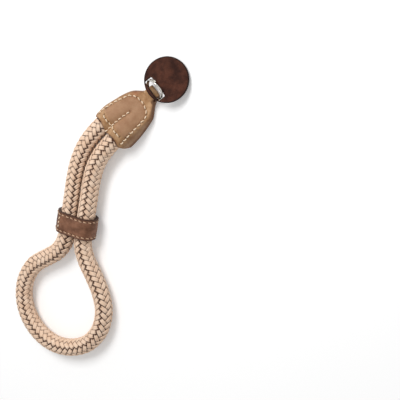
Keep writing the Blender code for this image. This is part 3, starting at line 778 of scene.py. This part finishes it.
def stitches(name, seam, matrix, finish, proud):
    """A row of stitches: from hole to hole a thread rises over the hide and dips in again, a little aslant.
    proud is how far its middle line stands over the hide at the middle of a stitch. On an underside, which
    the strap rests on, the thread is pressed in.

    Each is a round tube whose middle line is lowered by a share of the fourth power of the place along it,
    and which thins towards its two ends.
    """
    points, out, along, count = seam
    pitch = along[-1] / count
    place = np.linspace(-1.0, 1.0, 11)
    at = (np.arange(count)[:, None] + 0.5) * pitch + place * STITCH_HALF_SHARE * pitch
    base = np.stack([np.interp(at, along, column) for column in points.T], axis=-1)
    up = unit(np.stack([np.interp(at, along, column) for column in out.T], axis=-1))
    forward = unit(np.gradient(base, axis=1))
    across = unit(np.cross(forward, up))
    height = proud - THREAD_DIP * place**4 - UNDERSIDE_PRESS * ease(-up[..., 2], 0.4, 0.95)
    middle = base + height[..., None] * up + (THREAD_SLANT * place)[None, :, None] * across
    forward = unit(np.gradient(middle, axis=1))
    side = unit(np.cross(forward, up))
    top = np.cross(side, forward)
    around = np.linspace(0.0, 2 * math.pi, 10, endpoint=False)
    thick = THREAD_RADIUS * (1 - 0.3 * place**4)
    tubes = middle[:, :, None] + thick[None, :, None, None] * (
        np.cos(around)[:, None] * side[:, :, None] + np.sin(around)[:, None] * top[:, :, None]
    )
    travelled = np.broadcast_to(at[:, :, None], tubes.shape[:3])
    round_it = np.broadcast_to(THREAD_RADIUS * around, tubes.shape[:3])
    uv = np.stack([travelled, round_it], axis=-1).reshape(-1, 2)
    return add_tubes(name, moved(tubes, matrix), finish, uv, sharp=80.0)


def oblong(half_height, half_length, corner, count):
    """A rounded oblong's outline as heights and places along it, with count points on each long side."""
    turn = np.radians(np.linspace(0.0, 90.0, 5))
    rise, reach = half_height - corner, half_length - corner
    side = np.linspace(1.0, -1.0, count + 2)[1:-1] * reach
    heights, places = [], []
    for quarter, (sign_height, sign_place) in enumerate(((1, 1), (-1, 1), (-1, -1), (1, -1))):
        angle = turn + quarter * math.pi / 2
        heights.append(sign_height * rise + corner * np.cos(angle))
        places.append(sign_place * reach + corner * np.sin(angle))
        if quarter % 2:
            heights.append(sign_height * half_height + 0 * side)
            places.append(sign_place * side)
    return np.concatenate(heights), np.concatenate(places)


def slider_path(angles, side):
    """Ways out of a strand's centre, and that centre, in the slider's own section."""
    out = np.column_stack([np.cos(angles), 0 * angles, np.sin(angles)])
    centre = np.array([side * STRAND_OFFSET, 0.0, RUN_HEIGHT]) + 0 * out
    return out, centre


def lap_drop(angles):
    """How far the pared inner end lies below the outer end's cut, past that cut: a step, then a slow rise."""
    return LAP_STEP * (1 - ease(angles, LAP_END, LAP_END + LAP_RAMP))


def slider_loop():
    """The band's closed way round both strands, two half rounds and two flats, and its outside's drop there.

    The outer end's cut is a corner that is rounded over four places, each with its angle from the cut and its
    drop in millimetres, the last at the foot of the step.
    """
    right_out, right_centre = slider_path(np.linspace(-math.pi / 2, math.pi / 2, 61), 1)
    before = np.linspace(math.pi / 2, LAP_END - 0.03, 22)
    after = np.linspace(LAP_END + 0.01, 1.5 * math.pi, 50)
    corner = LAP_END + np.array([-0.018, -0.006, 0.0, 0.002])
    corner_drop = [0.06, 0.16, 0.32, LAP_STEP]
    left_out, left_centre = slider_path(np.concatenate([before, corner, after]), -1)
    left_drop = np.concatenate([0 * before, corner_drop, lap_drop(after)])
    over = np.linspace(1.0, -1.0, 24)[1:-1]
    top_centre = np.column_stack([STRAND_OFFSET * over, 0 * over, RUN_HEIGHT + 0 * over])
    up = np.array([0.0, 0.0, 1.0]) + 0 * top_centre
    out = np.vstack([right_out, up, left_out, -up])
    centre = np.vstack([right_centre, top_centre, left_centre, top_centre[::-1]])
    flat = np.zeros(len(over))
    drop = np.concatenate([np.zeros(len(right_out)), flat, left_drop, flat])
    return out, centre, drop


def slider_seams():
    """The two rim rows, right round the band, and the row that holds its lap, each on the band's outside."""
    place = np.array([SLIDER_CENTRE[0], SLIDER_CENTRE[1], 0.0])
    right, right_centre = slider_path(np.linspace(-math.pi / 2, math.pi / 2, 90), 1)
    left_angles = np.linspace(math.pi / 2, 1.5 * math.pi, 120)
    left, left_centre = slider_path(left_angles, -1)
    drop = lap_drop(left_angles) * ease(left_angles, LAP_END - 0.02, LAP_END + 0.10)
    left_points = left_centre + (SLEEVE_RADIUS - drop)[:, None] * left
    right_points = right_centre + SLEEVE_RADIUS * right
    out = np.vstack([right, left, right[:1]])
    points = np.vstack([right_points, left_points, right_points[:1]])
    seams = {}
    for name, sign in (("slider_upper_thread", 1), ("slider_lower_thread", -1)):
        row = points + place + (0.0, sign * (SLIDER_HALF_LENGTH - SLIDER_SEAM_INSET), 0.0)
        both = resampled(np.hstack([row, out]), 0.15)
        along = length_along(both[:, :3])
        seams[name] = (both[:, :3], unit(both[:, 3:]), along, round(along[-1] / STITCH_PITCH))
    half = SLIDER_HALF_LENGTH - SLIDER_SEAM_INSET - LAP_SEAM_TO_ROW
    y = np.linspace(-half, half, 60)
    direction, centre = slider_path(LAP_END - LAP_SEAM_INSET + 0 * y, -1)
    row = centre + SLEEVE_RADIUS * direction + place + np.column_stack([0 * y, y, 0 * y])
    seams["slider_lap_thread"] = (row, direction, y + half, round(2 * half / LAP_STITCH_PITCH))
    return seams


def slider_band(finish, seams):
    """A strip of hide closed round both strands, with its outer end lapped over the inner one.

    A rounded oblong is carried round the strands. Past the outer end's square cut its outside is a step
    lower, and rises again along the inner end, which was pared thin for the lap. The outside is drawn in
    along the two rim rows and swells a little between them.
    """
    drawn_in, swell = 0.26, 0.12
    place = np.array([SLIDER_CENTRE[0], SLIDER_CENTRE[1], 0.0])
    out, centre, drop = slider_loop()
    height, y = oblong(HIDE / 2, SLIDER_HALF_LENGTH, SLIDER_EDGE_ROUND, 60)
    outer = np.clip(height / HIDE + 0.5, 0.0, 1.0)
    from_row = np.abs(y) - (SLIDER_HALF_LENGTH - SLIDER_SEAM_INSET)
    height = height - (height > 0) * (drawn_in * bell(from_row, 0.6) - swell * bell(y, 3.4))
    radius = CHANNEL_RADIUS + HIDE / 2 + height[None, :] - drop[:, None] * outer
    ring = centre[:, None] + radius[..., None] * out[:, None]
    ring[..., 1] += y
    points = ring.reshape(-1, 3)
    piece = add_piece("lapped_slider", points + place, grid_faces(*ring.shape[:2], closed_rows=True), finish)

    holes = np.vstack([holes_of(seam) for seam in seams.values()])
    to_hole, _ = nearest(points + place, holes)
    # Painted shade: the needle holes, which the mesh doesn't cut, are painted dark.
    paint(piece, "hole", 1.1 * bell(to_hole, 0.42))
    rims = ease(np.abs(points[:, 1]), SLIDER_HALF_LENGTH - 1.0, SLIDER_HALF_LENGTH - 0.15)
    # The outer end's cut is a dark cut edge, and the pared inner end just past it is painted dark too:
    # painted shade under the step.
    cut_end_and_step_shade = np.outer(ease(drop, 0.0, 0.3), outer > 0.5).ravel()
    # The band's inner face, against the strands, is painted nearly as dark as its edges: painted shade.
    inner = np.tile(1.0 - ease(outer, 0.2, 0.6), len(ring))
    paint(piece, "edge", np.max([rims, cut_end_and_step_shade, 0.8 * inner], axis=0))
    return piece


def split_ring(finish):
    """Two turns of round wire, each flat, joined by a short step, with its two ends beside the step."""
    start = RING_JOG_HALF + RING_END_GAP
    turns = np.linspace(start, 4 * math.pi - start, 190)
    step = ease(turns, 2 * math.pi - RING_JOG_HALF, 2 * math.pi + RING_JOG_HALF)
    around = turns + RING_JOG_AT
    radial = np.column_stack([np.cos(around), np.sin(around), 0 * around])
    line = RING_MEAN_RADIUS * radial + (0.0, PIN_TO_RING_CENTRE, 0.0)
    line[:, 2] = RING_PITCH * (step - 0.5)
    turn = np.linspace(0.0, 2 * math.pi, 18, endpoint=False)[:, None]
    offset = np.cos(turn) * radial[:, None] + np.sin(turn) * np.array([0.0, 0.0, 1.0])
    thick = np.full(len(line), RING_WIRE / 2)
    thick[[0, -1]] -= RING_END_TAPER
    wire = line[:, None] + thick[:, None, None] * offset
    return add_tubes("wire_ring", [moved(wire, RING_FRAME)], finish)


def round_pad(finish):
    """A round of hide with a slot: rings run from the slot's edge out to the rim, over one face and back.

    Seen from the slot's middle, the slot is a superellipse and the rim is a circle whose middle lies further
    out; a point between them is a share of the way from one to the other. A slow wave bends the hide.
    """
    around = np.linspace(0.0, 2 * math.pi, 260, endpoint=False)[:, None]
    cos, sin = np.cos(around), np.sin(around)
    centre = PAD_RADIUS - PAD_SLOT_FROM_EDGE
    to_rim = centre * sin + np.sqrt(PAD_RADIUS**2 - (centre * cos) ** 2)
    power = 14
    to_slot = (np.abs(cos / PAD_SLOT[0]) ** power + np.abs(sin / PAD_SLOT[1]) ** power) ** (-1 / power)
    edge, half = PAD_EDGE_ROUND, PAD_HIDE / 2
    turn = np.radians(np.linspace(0.0, 90.0, 6))
    share = np.linspace(0.0, 1.0, 34)[1:-1]
    zero = 0 * share
    inset = np.concatenate([edge * (1 - np.cos(turn)), edge + zero, edge * (1 + np.sin(turn))])
    across = np.concatenate([0 * turn, share, 0 * turn + 1])
    rise = np.concatenate([half - edge * (1 - np.sin(turn)), half + zero, half - edge * (1 - np.cos(turn))])
    inset, across, rise = (np.concatenate([part, part[::-1]]) for part in (inset, across, rise))
    rise[len(rise) // 2 :] *= -1
    reach = to_slot + inset + across * (to_rim - to_slot - 2 * edge)
    x, y = reach * cos, reach * sin
    from_middle = np.hypot(x, y - centre)
    z = rise + 0.09 * np.sin(0.45 * x + 0.3 * y) * ease(y, 2.0, 9.0)
    points = np.stack([x, y, z], axis=-1).reshape(-1, 3)
    piece = add_piece("round_pad", moved(points, PAD_FRAME), grid_faces(*x.shape, closed_rows=True), finish)
    rim = ease(from_middle, PAD_RADIUS - 1.0, PAD_RADIUS - 0.2)
    slot = 1 - ease(reach - to_slot, 0.1, 0.7)
    paint(piece, "edge", np.maximum(rim, slot).ravel())
    return piece


braid = braided_cotton()
tan_hide = leather(
    "tan pull-up leather", colour="#C9A27A", patch="#9C724B", panel="#A0775D", rim="#613820",
    grain=1.0, roughness=0.54, specular=0.3,
)
brown_hide = leather(
    "brown oiled leather", colour="#8E6249", patch="#5E3A26", panel="#8E6249", rim="#331B10",
    grain=0.9, roughness=0.5, specular=0.3,
)
dark_hide = leather(
    "dark brown leather", colour="#552C1B", patch="#2E140B", panel="#552C1B", rim="#1C0B06",
    grain=0.9, roughness=0.56, specular=0.14,
)
# The furrow colours are painted shade and the crest colours painted highlight.
thread = waxed_thread("waxed linen thread", furrow="#E2C29C", crest="#FCE9D0")
worn_thread = waxed_thread("waxed linen thread, rubbed brown", furrow="#A98468", crest="#D2AE90")
nickel = plated_wire()

rope = braided_rope(braid)
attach(rope, "strap")
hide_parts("rope")

seams_of_cap = cap_seams(underside=False)
seams_under_cap = cap_seams(underside=True)
cap = end_cap(tan_hide, [*seams_of_cap.values(), *seams_under_cap.values()])
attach(cap, "strap")
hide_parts("end_cap")
for node, seam in seams_of_cap.items():
    row = stitches(node.replace("thread", "stitches"), seam, CAP_FRAME, thread, 0.16)
    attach(row, "strap")
    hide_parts(node)
for node, seam in seams_under_cap.items():
    row = stitches(node.replace("thread", "stitches_under"), seam, CAP_FRAME, worn_thread, 0.16)
    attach(row, "strap")

wire = split_ring(nickel)
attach(wire, "ring")
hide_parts("split_ring")

pad = round_pad(dark_hide)
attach(pad, "pad")
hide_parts("protector_pad")

seams_of_slider = slider_seams()
slider = slider_band(brown_hide, seams_of_slider)
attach(slider, "slider")
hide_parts("slider_band")
for node, seam in seams_of_slider.items():
    # The rims' rows are rubbed brown and lie in the hide, and the lap's row is still pale and stands up.
    finish, proud = (thread, 0.12) if "lap" in node else (worn_thread, 0.0)
    row = stitches(node.replace("thread", "stitches"), seam, Matrix.Identity(4), finish, proud)
    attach(row, "slider")
    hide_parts(node)


def seen_or_mirrored(tree):
    """1 for what the camera sees, also in a mirror or through glass, and 0 for what only lights the strap."""
    path = add(tree, "LightPath").outputs
    either = add(tree, "Math", {0: path["Is Camera Ray"], 1: path["Is Glossy Ray"]}, operation="MAXIMUM")
    rays = {0: either.outputs[0], 1: path["Is Transmission Ray"]}
    return add(tree, "Math", rays, operation="MAXIMUM").outputs[0]


def finish_floor():
    """A table top of white laminate, pressed matt: it keeps the strap's shadow without a shine, and stays
    white in what metal mirrors.
    """
    made, tree, shader = new_material("white laminate", 0.9)
    shader.inputs["Base Color"].default_value = hex_colour("#F8F8F8")
    shader.inputs["Specular IOR Level"].default_value = 0.0
    shader.inputs["Emission Color"].default_value = hex_colour("#FFFFFF")
    lift = add(tree, "MapRange", {"Value": seen_or_mirrored(tree), "To Max": 0.2})
    tree.links.new(lift.outputs[0], shader.inputs["Emission Strength"])
    half, under = 3.0, -0.1 * MM
    corners = [(-half, -half, under), (half, -half, under), (half, half, under), (-half, half, under)]
    mesh = bpy.data.meshes.new("floor")
    mesh.from_pydata(corners, [], [(0, 1, 2, 3)])
    mesh.materials.append(made)
    floor = bpy.data.objects.new("floor", mesh)
    bpy.context.scene.collection.objects.link(floor)


def place_camera():
    """Looks down on the strap from beyond the cap, rolled so that the loop is at the picture's lower left.

    The azimuth is measured from +Y towards +X, and the roll turns the camera about its own line of sight.
    """
    data = bpy.data.cameras.new("camera")
    data.lens = VIEW_LENS
    data.clip_end = 20.0
    camera = bpy.data.objects.new("camera", data)
    round_it = Matrix.Rotation(math.pi - VIEW_AZIMUTH, 4, "Z")
    tilted = round_it @ Matrix.Rotation(math.pi / 2 - VIEW_ELEVATION, 4, "X")
    rolled = tilted @ Matrix.Rotation(VIEW_ROLL, 4, "Z")
    away = rolled @ Matrix.Translation((0.0, 0.0, VIEW_DISTANCE * MM))
    camera.matrix_world = Matrix.Translation(Vector(VIEW_AIM) * MM) @ away
    bpy.context.scene.collection.objects.link(camera)
    bpy.context.scene.camera = camera


def soft_light(name, direction, distance, size, watts):
    """A square lamp, in metres, that faces the middle of the strap from a direction."""
    data = bpy.data.lights.new(name, "AREA")
    data.size = size
    data.energy = watts
    lamp = bpy.data.objects.new(name, data)
    aim = Vector((-0.01, -0.06, 0.0))
    way = Vector(direction).normalized()
    lamp.location = aim + distance * way
    lamp.rotation_euler = way.to_track_quat("Z", "Y").to_euler()
    bpy.context.scene.collection.objects.link(lamp)


def studio():
    """A white room that lights the strap less brightly than it shows, and one window's light."""
    world = bpy.data.worlds.new("studio")
    world.use_nodes = True
    bpy.context.scene.world = world
    sky = world.node_tree.nodes["Background"]
    sky.inputs["Color"].default_value = hex_colour("#FFFFFF")
    seen = seen_or_mirrored(world.node_tree)
    strength = add(world.node_tree, "MapRange", {"Value": seen, "To Min": 0.46, "To Max": 1.0})
    world.node_tree.links.new(strength.outputs[0], sky.inputs["Strength"])
    soft_light("window light", direction=(-0.25, 0.62, 0.92), distance=0.8, size=0.36, watts=4.1)
    bpy.context.scene.view_settings.view_transform = "Standard"


finish_floor()
place_camera()
studio()
